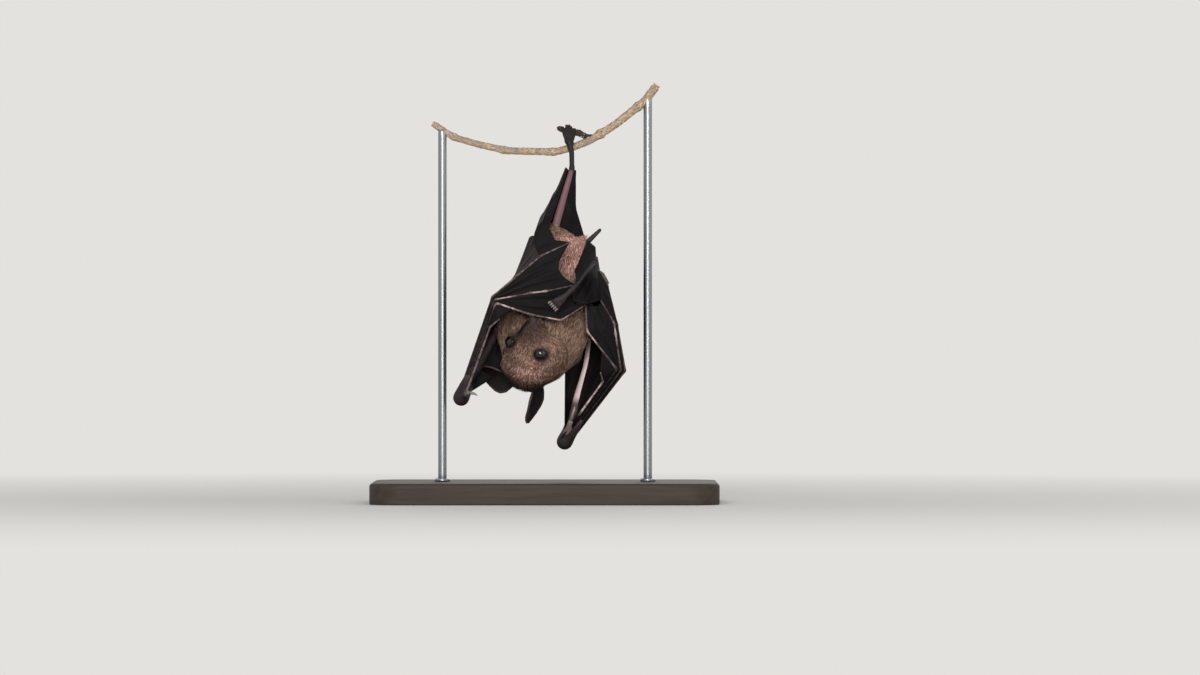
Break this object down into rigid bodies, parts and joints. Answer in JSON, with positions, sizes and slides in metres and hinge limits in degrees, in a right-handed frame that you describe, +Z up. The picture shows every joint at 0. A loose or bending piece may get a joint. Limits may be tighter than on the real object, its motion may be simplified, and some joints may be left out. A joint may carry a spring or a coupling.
{
  "type": "fruit bat",
  "caption": "Life-size short-nosed fruit bat hanging head down by one foot from a cut twig, wings folded loosely, on a plain display stand.",
  "frame": {"origin": "centre of the underside of the stand's base", "axes": "+Z up, the animal's belly faces -Y, its left side lies towards -X"},
  "size_m": [0.13, 0.08, 0.157],
  "materials": {
    "body_fur": "short warm grey-brown fur",
    "face_fur": "very short brown fur with a pinkish tint",
    "ear_skin": "bare dark skin",
    "eye": "wet gloss",
    "wing_skin": "thin near-black membrane with a soft sheen",
    "finger_skin": "skin over finger bones, pale pinkish",
    "arm_skin": "dark skin with a pale pinkish ridge",
    "leg_skin": "purplish pink skin",
    "claw": "horn",
    "twig": "thin tan bark",
    "stand_board": "dark satin paint on board",
    "stand_rod": "satin"
  },
  "bodies": {
    "root": {"arm_sheet_left": "wing_skin", "arm_sheet_right": "wing_skin", "claw_left_1": "claw", "claw_left_2": "claw", "claw_left_3": "claw", "claw_left_4": "claw", "claw_left_5": "claw", "claw_right_1": "claw", "claw_right_2": "claw", "claw_right_3": "claw", "claw_right_4": "claw", "claw_right_5": "claw", "ear_left": "ear_skin", "ear_right": "ear_skin", "eye_left": "eye", "eye_right": "eye", "finger_2_left": "finger_skin", "finger_2_right": "finger_skin", "finger_3_left": "finger_skin", "finger_3_right": "finger_skin", "finger_4_left": "finger_skin", "finger_4_right": "finger_skin", "finger_5_left": "finger_skin", "finger_5_right": "finger_skin", "foot_left": "leg_skin", "foot_right": "leg_skin", "forearm_left": "arm_skin", "forearm_right": "arm_skin", "head": "face_fur", "membrane_2_3_left": "wing_skin", "membrane_2_3_right": "wing_skin", "membrane_3_4_left": "wing_skin", "membrane_3_4_right": "wing_skin", "membrane_4_5_left": "wing_skin", "membrane_4_5_right": "wing_skin", "neck": "body_fur", "perch": "twig", "shin_left": "leg_skin", "shin_right": "leg_skin", "stand_base": "stand_board", "stand_rod_left": "stand_rod", "stand_rod_right": "stand_rod", "tail": "wing_skin", "tail_membrane_left": "wing_skin", "tail_membrane_right": "wing_skin", "thigh_left": "body_fur", "thigh_right": "body_fur", "thumb_claw_left": "claw", "thumb_claw_right": "claw", "thumb_left": "arm_skin", "thumb_right": "arm_skin", "trunk": "body_fur", "upper_arm_left": "body_fur", "upper_arm_right": "body_fur", "wing_front_left": "wing_skin", "wing_front_right": "wing_skin", "wing_inner_left": "wing_skin", "wing_inner_right": "wing_skin", "wing_sheet_left": "wing_skin", "wing_sheet_right": "wing_skin"}
  },
  "joints": []
}
